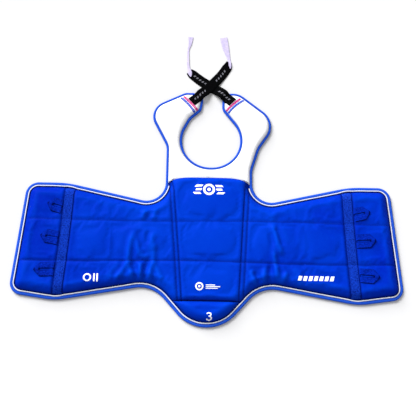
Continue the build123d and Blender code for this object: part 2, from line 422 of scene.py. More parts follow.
def lining(name, light, dark):
    make = Finish(name, {"Specular IOR Level": 0.16, "Sheen Weight": 0.05})
    along, side = make.across(0), make.across(1)
    warp = along.waves(1.1)
    weft = side.waves(1.1)
    soft = make.cloud(0.02, 3, 0.6)
    slub = make.cloud(0.5, 3, 0.7, 21)
    share = warp * weft * 0.45 + (soft - 0.35) * 0.9 + (slub - 0.5) * 0.5
    colour = make.mixed(share.kept(), dark, light)
    # painted shade: darker where the paintedShade mark is high, in seams, quilting and at the edges
    colour = make.mixed(make.worn("paintedShade") * 0.8, colour, dark)
    return make.finished(colour, 0.7 + slub * 0.12, warp + weft + slub * 0.5, 0.0002, 0.6)


def strand(name, light, dark):
    make = Finish(name, {"Specular IOR Level": 0.04})
    ply = ((make.across(0) * 2.6 + make.across(1) * 1.9) * 2.0).sine() * 0.5 + 0.5
    fuzz = make.cloud(2.2, 2, 0.6)
    colour = make.mixed((ply * 0.7 + (fuzz - 0.5)).kept(), dark, light)
    return make.finished(colour, 0.5 + fuzz * 0.2, ply, 0.00015, 0.7)


def printInk(name, base, thin):
    make = Finish(name, {"Specular IOR Level": 0.3})
    pinhole = make.cloud(1.1, 4, 0.7)
    dull = make.cloud(0.1, 2, 0.5, 3)
    colour = make.mixed((pinhole - 0.6).kept() * 3.0, base, thin)
    return make.finished(colour, 0.42 + dull * 0.2, pinhole, 0.0001, 0.4)


def paleFloor(name, base, shaded):
    make = Finish(name, {"Specular IOR Level": 0.0})
    broad = make.cloud(0.0012, 3, 0.5)
    fleck = make.cloud(0.09, 3, 0.6)
    colour = make.mixed((broad * 0.5 + fleck * 0.3 - 0.3).kept() * 0.3, base, shaded)
    return make.finished(colour, 0.85 + fleck * 0.1, fleck, 0.0001, 0.15)


whitened = 0.76          # the same for the white leather, which nearly burns out
finishes = {
    # the third colour of each leather is the dark of its grain lines and also the painted shade in seams,
    # grooves and at the pads' edges
    "blue": leather("blueLeather", tone(0, 38, 184), tone(0, 58, 207), tone(0, 12, 98),
                    tone(0, 74, 222), 0.44, 0.006),
    "white": leather("whiteLeather", tone(246, 247, 249, whitened), tone(252, 252, 253, whitened),
                     tone(205, 210, 224, whitened), tone(255, 255, 255, whitened), 0.42, 0.2),
    "binding": grosgrain("bindingWeave", tone(58, 122, 240), tone(30, 88, 222), tone(8, 54, 192), 1.5),
    "piping": vinyl("whitePiping", tone(236, 239, 253), tone(190, 198, 236), 0.36),
    # the third colour of tape and loop webbing is the painted shadow along their long edges
    "tape": webbing("tapeWebbing", tone(20, 68, 210), tone(0, 4, 92), tone(0, 12, 104), 12, 1.9, 1.7, 0.008),
    "loop": webbing("loopWebbing", tone(4, 54, 208), tone(0, 10, 116), tone(0, 6, 78), 8, 1.6, 1.0, 0.008),
    "elastic": elastic("blackElastic", tone(2, 2, 3), tone(13, 13, 15), tone(140, 140, 150)),
    "tie": cotton("cottonTape", tone(230, 220, 250), tone(200, 190, 232)),
    "red": cotton("redRibbon", tone(240, 16, 150), tone(216, 6, 122), 1.2),
    "stripe": cotton("blueRibbon", tone(24, 92, 232), tone(4, 60, 198), 1.2),
    "lining": lining("rearLining", tone(24, 62, 190), tone(6, 24, 112)),
    "thread": strand("blueThread", tone(20, 76, 232), tone(0, 26, 142)),
    "whiteThread": strand("whiteThread", tone(250, 250, 252, 1), tone(206, 208, 220, 1)),
    "blackThread": strand("blackThread", tone(58, 58, 64), tone(14, 14, 18)),
    "ink": printInk("printFilm", tone(246, 248, 255, 0.85), tone(176, 196, 246, 0.85)),
    "floor": paleFloor("paleFloor", tone(193, 193, 194, 1), tone(188, 188, 190, 1)),
}
slots = {
    "blue": "blue_cover", "white": "white_cover", "binding": "blue_binding", "piping": "white_piping",
    "tape": "blue_webbing", "loop": "blue_webbing", "elastic": "black_elastic", "tie": "white_cotton",
    "red": "red_ribbon", "stripe": "blue_ribbon", "lining": "rear_lining", "thread": "blue_binding",
    "whiteThread": "white_cotton", "blackThread": "black_elastic", "ink": "white_piping",
}
print("stage: finishes")


def form(name, points, faces, finish, cut=None, crease=50, marks=None):
    # points are plan millimetres with the height above the floor; faces are lists of their numbers
    points = np.asarray(points, float)
    mesh = bpy.data.meshes.new(name)
    placed = points * mm
    placed[:, 1] += datum
    mesh.from_pydata(placed.tolist(), [], [list(map(int, face)) for face in faces])
    shell = bmesh.new()
    shell.from_mesh(mesh)
    bmesh.ops.recalc_face_normals(shell, faces=shell.faces)
    shell.to_mesh(mesh)
    shell.free()
    mesh.shade_smooth()
    mesh.set_sharp_from_angle(angle=math.radians(crease))
    corners = np.zeros(len(mesh.loops), int)
    mesh.loops.foreach_get("vertex_index", corners)
    layer = mesh.uv_layers.new(name="cut")
    spread = (points if cut is None else np.asarray(cut, float))[corners][:, :2]
    layer.data.foreach_set("uv", spread.ravel())
    for key, values in (marks or {}).items():
        attribute = mesh.attributes.new(key, "FLOAT", "POINT")
        attribute.data.foreach_set("value", np.asarray(values, np.float32))
    mesh.materials.append(finishes[finish])
    piece = bpy.data.objects.new(name, mesh)
    scene.collection.objects.link(piece)
    finish in slots
    return piece


def planPoint(x, y, z=0):            # plan millimetres to the frame's metres
    return (x * mm, y * mm + datum, z * mm)


def settle(piece, zone):             # pieces of the flanks, wings, belly and shoulders have their transform baked where they lie; any other piece is attached to the chest
    side = "left" if zone.endswith("Left") else "right"
    sign = -1 if side == "left" else 1
    if zone.startswith("flank"):
        a, b = folds["side"]
        planPoint(sign * a, 0)
        planPoint(sign * b, 0)
        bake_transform(piece)
    elif zone.startswith("wing"):
        a, b = folds["end"]
        planPoint(sign * a, 0)
        planPoint(sign * b, 0)
        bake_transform(piece)
    elif zone == "belly":
        a, b = folds["belly"]
        planPoint(0, a)
        planPoint(0, b)
        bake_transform(piece)
    elif zone.startswith("shoulder"):
        a, b = folds["shoulder"]
        planPoint(0, a)
        planPoint(0, b)
        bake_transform(piece)
    else:
        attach(piece, "chest")
    return piece


# Outline: the cut edge of the body, walked counterclockwise from the belly's tip
def filleted(corners, step):
    stops = [np.array(corner[:2], float) for corner in corners]
    path = []
    for k, corner in enumerate(corners):
        before, here, after = stops[k - 1], stops[k], stops[(k + 1) % len(stops)]
        toBefore = (before - here) / np.linalg.norm(before - here)
        toAfter = (after - here) / np.linalg.norm(after - here)
        turn = math.pi - math.acos(float(toBefore @ toAfter))
        back = corner[2] * math.tan(turn / 2)
        middle = toBefore + toAfter
        centre = here + middle / np.linalg.norm(middle) * corner[2] / math.cos(turn / 2)
        arms = [here + toBefore * back - centre, here + toAfter * back - centre]
        count = max(3, int(corner[2] * turn / step))
        for t in np.linspace(0, 1, count + 1):
            path.append(centre + (math.sin((1 - t) * turn) * arms[0] + math.sin(t * turn) * arms[1])
                        / math.sin(turn))
    return spaced(path + [path[0]], step)[:-1]


leftCorners = [(-x, y, radius) for x, y, radius in body["wing"] + body["leftShoulder"]]
rim = filleted(body["wing"] + body["rightShoulder"] + leftCorners[::-1], 1.0)
ahead = np.roll(rim, -1, axis=0) - np.roll(rim, 1, axis=0)
ahead /= np.linalg.norm(ahead, axis=1)[:, None]
outward = np.stack([ahead[:, 1], -ahead[:, 0]], axis=1)
walked = lengthsAlong(rim)
rimTree = findable(rim)


def edgeDepth(points):               # how far inside the cut edge each point lies
    depths = np.zeros(len(points))
    for k, point in enumerate(points):
        _, number, distance = rimTree.find((point[0], point[1], 0))
        inner = float((rim[number] - point) @ outward[number])
        depths[k] = distance if inner > 0 else -distance
    return depths


def yokeLine(x):
    return body["yokeSeam"] - body["yokeSeamDrop"] * np.abs(np.asarray(x) / body["yokeHalf"]) ** 5


def isYoke(x, y):
    return (np.abs(x) < 125) & (y > yokeLine(np.clip(x, -110, 110))) | (y > 80)


# Seams, measured on each side: the inner row of stitches runs from top to bottom
panelSeam = {
    "left": [(-91.5, 60), (-83, 28), (-75.5, -47), (-66, -147), (-58, -240)],
    "right": [(94, 58), (90, 31), (85.5, -54), (81, -147), (76, -240)],
    "rows": 10,              # distance between the two rows of stitches
}
quilting = {"rows": [-48, -147], "depths": [1.5, 2.5], "spread": 4.6}
tape = {"top": (337.1, 26), "bottom": (351, -222), "bow": -1.6, "width": 24, "thick": 1.3, "sink": 2.3}


def seamX(side, y):
    seam = np.array(panelSeam[side])[::-1]
    return np.interp(y, seam[:, 1], seam[:, 0])


def tapeX(y):                        # distance of the tape's middle from the centre line
    (x0, y0), (x1, y1) = tape["top"], tape["bottom"]
    t = (np.asarray(y, float) - y0) / (y1 - y0)
    return x0 + (x1 - x0) * t + tape["bow"] * 4 * t * (1 - t)


def quiltY(row, x):                  # the rows of quilting aren't quite straight
    return quilting["rows"][row] + 1.6 * np.sin(np.asarray(x) / 97 + row * 2.1) - np.abs(x) * 0.004


padding = {
    "blue": {
        "flange": 4.6, "top": 20.5, "foot": 12.5, "run": 23,
        "insets": [8.5, 12.4, 13.5, 15, 17.2, 20.5, 25],
    },
    "white": {"flange": 4.6, "top": 12.6, "foot": 6, "run": 13, "insets": [5.9, 6.9, 8.3, 10.4, 13.5]},
    "step": 3.4,
    "simStep": 6.6,
}


def insetRows(insets, wanted, step):
    rows = []
    every = max(1, int(round(step)))
    for inset in insets:
        line = rim - outward * inset
        good = wanted & (edgeDepth(line) > inset - 0.25)
        run = []
        for k in list(range(0, len(rim), every)) + [0]:
            if good[k]:
                run.append(line[k])
            elif run:
                rows.append(run)
                run = []
        rows.append(run)
    return [np.array(row) for row in rows if len(row) > 1]


def layPlan(step, fine):
    # triangles over the whole front, with rows of points along the hems, seams and quilting
    onYoke = isYoke(rim[:, 0], rim[:, 1])
    allow = body["allowance"]
    lines = []
    for kind, where in (("blue", ~onYoke), ("white", onYoke)):
        lines += insetRows(padding[kind]["insets"] if fine else [padding[kind]["foot"]], where, step)
    straight = [[(x, -300), (x, 60)] for x in (-body["wingSplit"], body["wingSplit"])]
    straight += [[(-130, body["bellySeam"]), (130, body["bellySeam"])]]
    straight += [[(x, body["shoulder"]), (x + 100, body["shoulder"])] for x in (-160, 60)]
    for side, sign in (("left", -1), ("right", 1)):
        ys = np.linspace(body["bellySeam"], body["yokeSeam"], 60)
        for shift in (0, panelSeam["rows"]):
            straight.append(np.stack([seamX(side, ys) + sign * shift, ys], axis=1))
        ys = np.linspace(-260, 60, 60)
        for shift in (-tape["width"] / 2, tape["width"] / 2):
            straight.append(np.stack([sign * (tapeX(ys) + shift), ys], axis=1))
    xs = np.linspace(-480, 480, 300)
    for row in range(2):
        straight.append(np.stack([xs, quiltY(row, xs)], axis=1))
    xs = np.linspace(-118, 118, 80)
    straight.append(np.stack([xs, yokeLine(xs)], axis=1))
    for line in straight:
        line = spaced(line, step)
        keep = edgeDepth(line) > allow - 1.5
        runs = np.split(np.arange(len(line)), np.where(np.diff(keep.astype(int)) != 0)[0] + 1)
        lines += [line[run] for run in runs if keep[run[0]] and len(run) > 1]
    edge = (rim - outward * allow)[::max(1, int(round(step)))]
    points = [*edge]
    links = [(k, (k + 1) % len(edge)) for k in range(len(edge))]
    for line in lines:
        start = len(points)
        points += [*line]
        links += [(start + k, start + k + 1) for k in range(len(line) - 1)]
    near = findable(points)
    grid = []
    for row, y in enumerate(np.arange(-304, 296, step * 0.866)):
        xs = np.arange(-476, 476, step) + (step / 2 if row % 2 else 0)
        grid += [(x, y) for x in xs]
    grid = np.array(grid)
    grid = grid[edgeDepth(grid) > allow + step * 0.6]
    free = [near.find((x, y, 0))[2] > step * 0.62 for x, y in grid]
    points += [*grid[np.array(free)]]
    corners, faces = triangulated(points, links, 1e-3)
    faces = faces[edgeDepth(corners[faces].mean(axis=1)) > allow - 0.6]
    used = np.unique(faces)
    renumber = np.full(len(corners), -1)
    renumber[used] = np.arange(len(used))
    corners = corners[used]
    return corners, faceUp(corners, renumber[faces], 1e-4)


def seamGaps(points):                # distance of each point from what holds the padding down
    x, y = points.T
    gaps = {}
    gaps["yoke"] = np.where(np.abs(x) < 125, np.abs(y - yokeLine(np.clip(x, -115, 115))), 999)
    gaps["belly"] = np.where(np.abs(x) < 140, np.abs(y - body["bellySeam"]), 999)
    between = (y > body["bellySeam"] - 0.1) & (y < yokeLine(np.clip(x, -110, 110)) + 0.1)
    inner, outer = [], []
    for side, sign in (("left", -1), ("right", 1)):
        seam = seamX(side, y)
        inner.append(np.where(between, np.abs(x - seam), 999))
        outer.append(np.where(between, np.abs(x - seam - sign * panelSeam["rows"]), 999))
    gaps["inner"], gaps["outer"] = np.minimum(*inner), np.minimum(*outer)
    gaps["quilt"] = [np.where(~isYoke(x, y), np.abs(y - quiltY(row, x)), 999) for row in range(2)]
    gaps["tape"] = np.where(y < 60, np.abs(np.abs(x) - tapeX(y)), 999)
    return gaps


# Creases pressed into the front: paths in plan, half width and height of each fold
creases = {
    "wider": 1.25, "taller": 1.5,
    "left": [            # path, half width and height of each fold, and under 0 for a valley
        ([(-169, -86), (-166, -110), (-162, -128), (-150, -138), (-140, -134), (-135, -113), (-131, -90),
          (-117, -78)], 5.4, 1.7),
        ([(-178, -76), (-184, -110), (-187, -146), (-182, -170), (-173, -198)], 4.8, 2.4),
        ([(-126, -100), (-128, -146), (-133, -168), (-136, -200)], 4.8, 2.5),
        ([(-128, -148), (-118, -170), (-104, -196)], 5.2, 2.4),
        ([(-187, -148), (-198, -170), (-216, -194)], 5.2, 2.4),
        ([(-206, -150), (-222, -172), (-236, -192)], 6.0, 1.3),
        ([(-158, -148), (-157, -172), (-156, -198)], 4.2, 1.8),
        ([(-158, -49), (-153, -34), (-147, -20)], 5.0, 1.5),
        ([(-133, -48), (-129, -34), (-124, -18)], 5.0, 1.4),
        ([(-163, -72), (-160, -98), (-152, -122)], 5.4, -1.8),
        ([(-143, -76), (-144, -108)], 4.6, -1.5),
        ([(-178, -150), (-168, -172), (-165, -190)], 4.6, -2.0),
        ([(-140, -150), (-146, -170), (-148, -190)], 4.6, -2.0),
        ([(-146, -52), (-140, -36), (-136, -22)], 5.5, -1.2),
    ],
    "right": [
        ([(153, -52), (161, -73), (170, -106), (178, -132)], 5.0, 2.4),
        ([(158, -97), (161, -146), (167, -176), (171, -204)], 4.6, 2.5),
        ([(189, -168), (180, -190), (173, -203)], 5.0, 2.2),
        ([(204, -158), (216, -180), (222, -206)], 6.5, 1.2),
        ([(154, -30), (154, -49)], 5.5, 1.1),
        ([(102, -164), (110, -186), (120, -207)], 4.8, 2.6),
        ([(136, -158), (135, -180), (136, -204)], 4.6, 1.8),
        ([(164, -60), (171, -80), (181, -108)], 5.2, -1.6),
        ([(150, -72), (155, -100), (160, -128)], 5.2, -1.4),
        ([(152, -150), (150, -176), (151, -190)], 4.8, -2.2),
        ([(112, -168), (123, -190), (129, -206)], 4.6, -2.0),
    ],
    "pockets": [         # hollows at the hem: x, y, half width, half height, depth
        (-198, -194, 8, 6, 3.6), (-148, -194, 5, 7, 3.4), (-166, -196, 5, 7, 3.4),
        (-121, -199, 6, 8, 3.8),
        (151, -197, 6, 8, 3.8), (187, -204, 8, 6, 3.4), (113, -203, 7, 7, 3.0),
    ],
}


def creaseLift(points):
    lift = np.zeros(len(points))
    for side in ("left", "right"):
        for path, width, height in creases[side]:
            line = curved(path, 2.0)
            box = (np.abs(points - line.mean(axis=0)) < np.ptp(line, axis=0) / 2 + 5 * width).all(axis=1)
            here = np.where(box)[0]
            gaps = np.linalg.norm(points[here, None] - line[None], axis=2)
            nearest = gaps.argmin(axis=1)
            t = nearest / (len(line) - 1)
            fade = eased(np.minimum(t, 1 - t) / 0.22 + 0.12)
            across = gaps.min(axis=1) / (width * creases["wider"])
            ridge = np.exp(-across ** 2 * 0.9) - 0.28 * np.exp(-(across - 1.9) ** 2)
            lift[here] += height * creases["taller"] * fade * ridge
    for x, y, wide, tall, depth in creases["pockets"]:
        lift -= depth * np.exp(-((points[:, 0] - x) / wide) ** 2 - ((points[:, 1] - y) / tall) ** 2)
    return lift


def frontHeight(points, depth, gaps):
    x, y = points.T
    yoke = isYoke(x, y)
    heights = np.zeros(len(points))
    for kind, where in (("blue", ~yoke), ("white", yoke)):
        p = padding[kind]
        rise = domed((depth - p["foot"]) / p["run"])
        full = p["top"] - p["flange"]
        held = np.minimum(rise, 1)
        if kind == "blue":
            held = held * (0.46 + 0.54 * domed(gaps["yoke"] / 15))
            held = held * (0.34 + 0.66 * domed(gaps["belly"] / 13))
        else:
            held = held * (0.80 + 0.20 * domed(gaps["yoke"] / 11))
        heights[where] = (p["flange"] + full * held)[where]
        if kind == "blue":
            blueRise = rise
    for row, gap in enumerate(gaps["quilt"]):
        heights -= np.where(yoke, 0, quilting["depths"][row] * np.exp(-gap / quilting["spread"]) * blueRise)
    for gap in (gaps["inner"], gaps["outer"]):
        heights -= np.where(yoke, 0, 2.2 * np.exp(-gap / 2.6) * blueRise)
    channel = eased((tape["width"] / 2 + 4 - gaps["tape"]) / 5)
    heights -= np.where(yoke, 0, tape["sink"] * channel * blueRise)
    return heights, blueRise, channel


def swell(points, faces, heights, held):
    # air pressure and a little spare cloth lift the cover between its seams
    mesh = bpy.data.meshes.new("swelling")
    mesh.from_pydata((np.column_stack([points, heights]) * mm).tolist(), [], faces.tolist())
    sheet = bpy.data.objects.new("swelling", mesh)
    scene.collection.objects.link(sheet)
    group = sheet.vertex_groups.new(name="held")
    group.add([int(k) for k in np.where(held)[0]], 1, "REPLACE")
    cloth = sheet.modifiers.new("cloth", "CLOTH")
    settings = cloth.settings
    settings.quality = 5
    settings.mass = 0.4
    settings.tension_stiffness = 40
    settings.compression_stiffness = 40
    settings.shear_stiffness = 20
    settings.bending_stiffness = 2.5
    settings.use_pressure = True
    settings.uniform_pressure_force = 4
    settings.shrink_min = -0.012
    settings.vertex_group_mass = "held"
    settings.effector_weights.gravity = 0
    cloth.collision_settings.use_collision = False
    cloth.point_cache.frame_start = 1
    cloth.point_cache.frame_end = 20
    for moment in range(1, 21):
        scene.frame_set(moment)
    posed = sheet.evaluated_get(bpy.context.evaluated_depsgraph_get())
    swollen = bpy.data.meshes.new_from_object(posed)
    after = np.zeros(len(points) * 3)
    swollen.vertices.foreach_get("co", after)
    move = after.reshape(-1, 3) / mm - np.column_stack([points, heights])
    bpy.data.objects.remove(sheet)
    scene.frame_set(1)
    return move


def spreadMove(known, move, to, reach=3.0):      # the coarse sheet's moves, blended for finer points
    near = findable(known)
    result = np.zeros((len(to), 3))
    for k, point in enumerate(to):
        found = near.find_n((point[0], point[1], 0), 7)
        weights = np.array([1 / (distance ** 2 + reach) ** 1.5 for _, _, distance in found])
        result[k] = weights @ move[[number for _, number, _ in found]] / weights.sum()
    return result


plan, triangles = layPlan(padding["step"], True)
depth = edgeDepth(plan)
gaps = seamGaps(plan)
heights, rise, channel = frontHeight(plan, depth, gaps)
print("stage: front laid out,", len(plan), "points,", len(triangles), "faces")

free = np.minimum.reduce([gaps["yoke"], gaps["belly"], gaps["inner"], gaps["outer"], *gaps["quilt"]])
swelling = {"cap": 3.4, "sink": 0.6, "side": 1.2}        # the most that the cloth may rise, drop and slide
coarse, coarseFaces = layPlan(padding["simStep"], False)
coarseDepth = edgeDepth(coarse)
coarseGaps = seamGaps(coarse)
coarseHeights, *_ = frontHeight(coarse, coarseDepth, coarseGaps)
onYoke = isYoke(coarse[:, 0], coarse[:, 1])
held = coarseDepth < np.where(onYoke, 7, 14)
for gap in (coarseGaps["yoke"], coarseGaps["belly"], *coarseGaps["quilt"]):
    held |= gap < 1.6
held |= (coarseGaps["inner"] < 3) | (coarseGaps["outer"] < 3)
held |= coarseGaps["tape"] < tape["width"] / 2 + 1
move = swell(coarse, coarseFaces, coarseHeights, held)
print("stage: cloth lifted by", np.round(np.percentile(move[:, 2], [1, 25, 50, 75, 99]), 2), "mm")
moved = spreadMove(coarse, move, plan)
moved[:, 2] = np.clip(moved[:, 2], -swelling["sink"], 60)
moved[:, 2] = swelling["cap"] * np.tanh(moved[:, 2] / swelling["cap"])
moved[:, :2] = np.clip(moved[:, :2], -swelling["side"], swelling["side"])

onYoke = isYoke(plan[:, 0], plan[:, 1])
loose = np.where(onYoke, domed((depth - 6) / 13), rise)
moved *= (loose * (1 - channel))[:, None]
moved[onYoke] *= 0.45
pressed = creaseLift(plan) * np.minimum(1, 1.25 * loose) * (~onYoke)
split = np.abs(np.abs(plan[:, 0]) - body["wingSplit"]) < 0.01
split |= np.abs(plan[:, 1] - body["shoulder"]) < 0.01
side = moved[:, :2] * (~split)[:, None] * eased(free / 6)[:, None]
top = np.column_stack([plan + side, heights + moved[:, 2] + pressed])
top[:, 2] = np.maximum(top[:, 2], 4.4)
skin = BVHTree.FromPolygons(top.tolist(), triangles.tolist())


def skinAt(points, missing=6.2):     # height of the front surface under plan points
    found = []
    for x, y in np.asarray(points, float)[:, :2]:
        hit = skin.ray_cast(Vector((x, y, 90)), Vector((0, 0, -1)))
        found.append(hit[0].z if hit[0] is not None else missing)
    return np.array(found)


def backHeight(points, depth, gaps):     # underside of the rear lining, pulled up where it is stitched
    lift = np.zeros(len(points))
    for gap in (gaps["inner"], gaps["outer"], *gaps["quilt"], gaps["belly"], gaps["yoke"]):
        lift = np.maximum(lift, 1.5 * np.exp(-gap / 3.4))
    foot = np.where(isYoke(points[:, 0], points[:, 1]), 6.5, 10.5)
    return 0.12 + np.maximum(lift, 1.25 * (1 - eased((depth - foot) / 5)))


def zoneOf(x, y):
    if y < body["bellySeam"] and abs(x) < body["bellyHalf"]:
        return "belly"
    if y > body["shoulder"]:
        return "shoulderLeft" if x < 0 else "shoulderRight"
    if bool(isYoke(np.array([x]), np.array([y]))[0]):
        return "yoke"
    hand = "Left" if x < 0 else "Right"
    if abs(x) > body["wingSplit"]:
        return "wing" + hand
    if x < seamX("left", y) or x > seamX("right", y):
        return "flank" + hand
    return "centre"


def closed(name, faces, upper, lower, finish, cut, crease=50, marks=None):
    # a solid between two surfaces that share their triangles
    used = np.unique(faces)
    renumber = np.full(len(upper), -1)
    renumber[used] = np.arange(len(used))
    faces = renumber[faces]
    count = len(used)
    sides = {}
    for a, b, c in faces.tolist():
        for edge in ((a, b), (b, c), (c, a)):
            if (edge[1], edge[0]) in sides:
                del sides[(edge[1], edge[0])]
            else:
                sides[edge] = True
    walls = [(b, a, a + count, b + count) for a, b in sides]
    every = [*faces.tolist(), *(faces[:, ::-1] + count).tolist(), *walls]
    points = np.vstack([upper[used], lower[used]])
    marks = {key: np.concatenate([value[used], value[used]]) for key, value in (marks or {}).items()}
    return form(name, points, every, finish, np.vstack([cut[used], cut[used]]), crease, marks)


# Pads: names of pad and lining, finish, softness, and the nodes that each of the two stands for
pads = {
    "centre": ("padCentre", "rearCentre", "blue", 0.8,
               ["front_panel_centre", "foam_core_chest"], ["rear_cover_chest"]),
    "yoke": ("padYoke", "rearYoke", "white", 0.7,
             ["front_cover_yoke", "foam_core_yoke"], ["rear_cover_chest"]),
    "belly": ("padBelly", "rearBelly", "blue", 0.8,
              ["front_cover_belly", "foam_core_belly"], ["rear_cover_belly"]),
}
for hand in ("Left", "Right"):
    low = hand.lower()
    pads["flank" + hand] = ("padFlank" + hand, "rearFlank" + hand, "blue", 0.75,
                            ["front_panel_flank_" + low, "front_cover_side_" + low, "foam_core_side_" + low],
                            ["rear_cover_side_" + low])
    pads["wing" + hand] = ("padWing" + hand, "rearWing" + hand, "blue", 0.75,
                           ["front_cover_end_" + low, "foam_core_end_" + low], ["rear_cover_end_" + low])
    pads["shoulder" + hand] = ("padShoulder" + hand, "rearShoulder" + hand, "white", 0.7,
                               ["front_cover_shoulder_" + low, "foam_core_shoulder_" + low],
                               ["rear_cover_shoulder_" + low])

middles = plan[triangles].mean(axis=1)
zones = np.array([zoneOf(x, y) for x, y in middles])
# painted shade: a mark from 0 to 1 that darkens the cover in seams and quilting, where the pad drops to its
# edge, and beside the tapes' edges
held = np.minimum.reduce([gaps["inner"], gaps["outer"], gaps["yoke"], gaps["belly"]])
foot = depth - np.where(onYoke, padding["white"]["foot"], padding["blue"]["foot"])
paintedShade = np.maximum(np.exp(-held / 1.5), np.where(foot > 0, np.exp(-foot / 2.2), 1))
for row, share in enumerate((0.5, 0.85)):
    paintedShade = np.maximum(paintedShade, share * np.exp(-gaps["quilt"][row] / 1.4))
paintedShade = np.maximum(paintedShade, np.exp(-(np.abs(gaps["tape"] - tape["width"] / 2 - 0.8) / 1.9) ** 2) * (rise > 0.2))
rub = np.clip(pressed / 3.2, 0, 1) + 0.35 * eased(1 - np.abs(foot - 20) / 10)
back = backHeight(plan, depth, gaps)
for zone, (name, rearName, finish, fill, fronts, rears) in pads.items():
    mine = triangles[zones == zone]
    under = np.column_stack([plan, back + 1.15])
    under[:, 2] = np.minimum(under[:, 2], top[:, 2] - 1.5)
    pad = closed(name, mine, top, under, finish, plan, 60, {"paintedShade": paintedShade, "rub": np.clip(rub, 0, 1)})
    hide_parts(*fronts)
    settle(pad, zone)
    lower = np.column_stack([plan, back])
    rear = closed(rearName, mine, lower + [0, 0, 0.9], lower, "lining", plan, 60, {"paintedShade": paintedShade})
    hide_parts(*rears)
    settle(rear, zone)
print("stage: pads and lining")


# Hem: a ribbed binding folded round the cut edge, and a fine piping at its inner side on the blue
hem = {
    "bindingBlue": 7.6,      # width on the face side, where the cover is blue and where it's white
    "bindingWhite": 6.0,
    "pipingInset": 9.1,
    "pipingRound": 1.45,
    "pipingHeight": 6.5,
    "step": 2.4,
    "stitchPitch": 3.4,
}


def ripple(along, seed):             # the small unevenness of sewing by hand
    slow, quick = np.sin(along / 37 + seed), np.sin(along / 6.7 + 3 * seed)
    return (slow + 0.6 * np.sin(along / 15.3 + 2 * seed) + 0.4 * quick) / 2


def rimLabel(x, y):
    hand = "Left" if x < 0 else "Right"
    if math.hypot(x - body["neck"][0], y - body["neck"][1]) < body["neck"][2] and y <= body["shoulder"]:
        return "neck"
    if y > body["shoulder"]:
        return "shoulder" + hand
    if abs(x) > body["wingSplit"]:
        return "wing" + hand
    if y < -100:
        return "belly" if abs(x) < body["bellyHalf"] else "waist" + hand
    return "armhole" + hand


labels = np.array([rimLabel(x, y) for x, y in rim])
hemZones = {"neck": "centre", "belly": "belly"}
for hand in ("Left", "Right"):
    for part, zone in (("shoulder", "shoulder"), ("wing", "wing"), ("waist", "flank"), ("armhole", "flank")):
        hemZones[part + hand] = zone + hand
hemNodes = {
    "neck": ("edge_binding_chest", None),
    "belly": ("edge_binding_belly", "white_piping_belly"),
    "waist": ("edge_binding_side_", "white_piping_side_"),
    "armhole": ("edge_binding_side_", "white_piping_chest"),
    "wing": ("edge_binding_end_", "white_piping_end_"),
    "shoulder": ("edge_binding_shoulder_", None),
}


def hemNode(label, layer):           # the node that a stretch of binding (0) or piping (1) stands for
    node = hemNodes[label.replace("Left", "").replace("Right", "")][layer]
    side = "left" if label.endswith("Left") else "right"
    return node + side if node.endswith("_") else node


def rimRun(label, wanted=None):      # the stretch of the edge with that label, in order, across the start too
    mask = labels == label
    if wanted is not None:
        mask &= wanted
    numbers = np.where(mask)[0]
    if mask[0] and mask[-1]:
        jump = np.where(np.diff(numbers) > 1)[0][0] + 1
        numbers = np.concatenate([numbers[jump:], numbers[:jump] + len(rim)])
    last = numbers[-1]
    return np.concatenate([numbers[:-1:int(round(hem["step"]))], [last, last + 1]])


def alongRim(numbers):
    return walked[numbers % len(rim)] + np.where(numbers >= len(rim), walked[-1] + 1, 0)


def swept(name, rings, finish, along, crease=50):
    # rings of points joined into a tube with closed ends
    rings = np.asarray(rings)
    count, size = rings.shape[:2]
    faces = []
    for r in range(count - 1):
        for k in range(size):
            n = (k + 1) % size
            faces.append((r * size + k, (r + 1) * size + k, (r + 1) * size + n, r * size + n))
    faces.append(list(range(size)))
    faces.append(list(range((count - 1) * size, count * size))[::-1])
    around = lengthsAlong(rings[0])
    cut = [(along[r], around[k]) for r in range(count) for k in range(size)]
    return form(name, rings.reshape(-1, 3), faces, finish, cut, crease)


def bindingProfile(width, shift):
    w = width + shift
    over = [(w - 0.4, 4.75), (w, 5.05), (w - 0.1, 5.6), (w - 1.0, 6.0), (w * 0.55, 6.25), (2.6, 6.15)]
    edge = [(1.0, 5.5), (0.2, 4.4), (0.0, 3.0), (0.2, 1.5), (1.0, 0.5)]
    under = [(2.4, 0.05), (w * 0.6, 0.0), (w - 0.7, 0.05), (w - 0.1, 0.35), (w - 0.2, 0.9), (w - 0.8, 1.15)]
    inside = [(3.2, 1.2), (1.7, 1.9), (1.3, 3.0), (1.7, 4.1), (3.2, 4.7)]
    return over + edge + under + inside


def tapeKick(points):                # the hem is pushed out a little where a tape runs into it
    away = np.abs(np.abs(points[:, 0]) - tapeX(points[:, 1]))
    return 1.3 * np.exp(-(away / 13) ** 4)


def sewBinding():
    for label, zone in hemZones.items():
        numbers = rimRun(label)
        places = numbers % len(rim)
        along = alongRim(numbers)
        x, y = rim[places].T
        over = np.clip((y - yokeLine(np.clip(x, -105, 105)) + 4) / 8, 0, 1)
        white = eased(over * (np.abs(x) < 200) * (y > 20))
        widths = hem["bindingBlue"] * (1 - white) + hem["bindingWhite"] * white
        rings = []
        for k, place in enumerate(places):
            shape = bindingProfile(widths[k], 0.28 * ripple(along[k], 1.3))
            lift = 0.12 * ripple(along[k], 4.1)
            ring = []
            for d, z in shape:
                spot = rim[place] - outward[place] * d
                ring.append((spot[0], spot[1], z + lift * (z > 4)))
            rings.append(ring)
        piece = swept("binding" + label[0].upper() + label[1:], rings, "binding", along)
        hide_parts(hemNode(label, 0))
        settle(piece, zone)


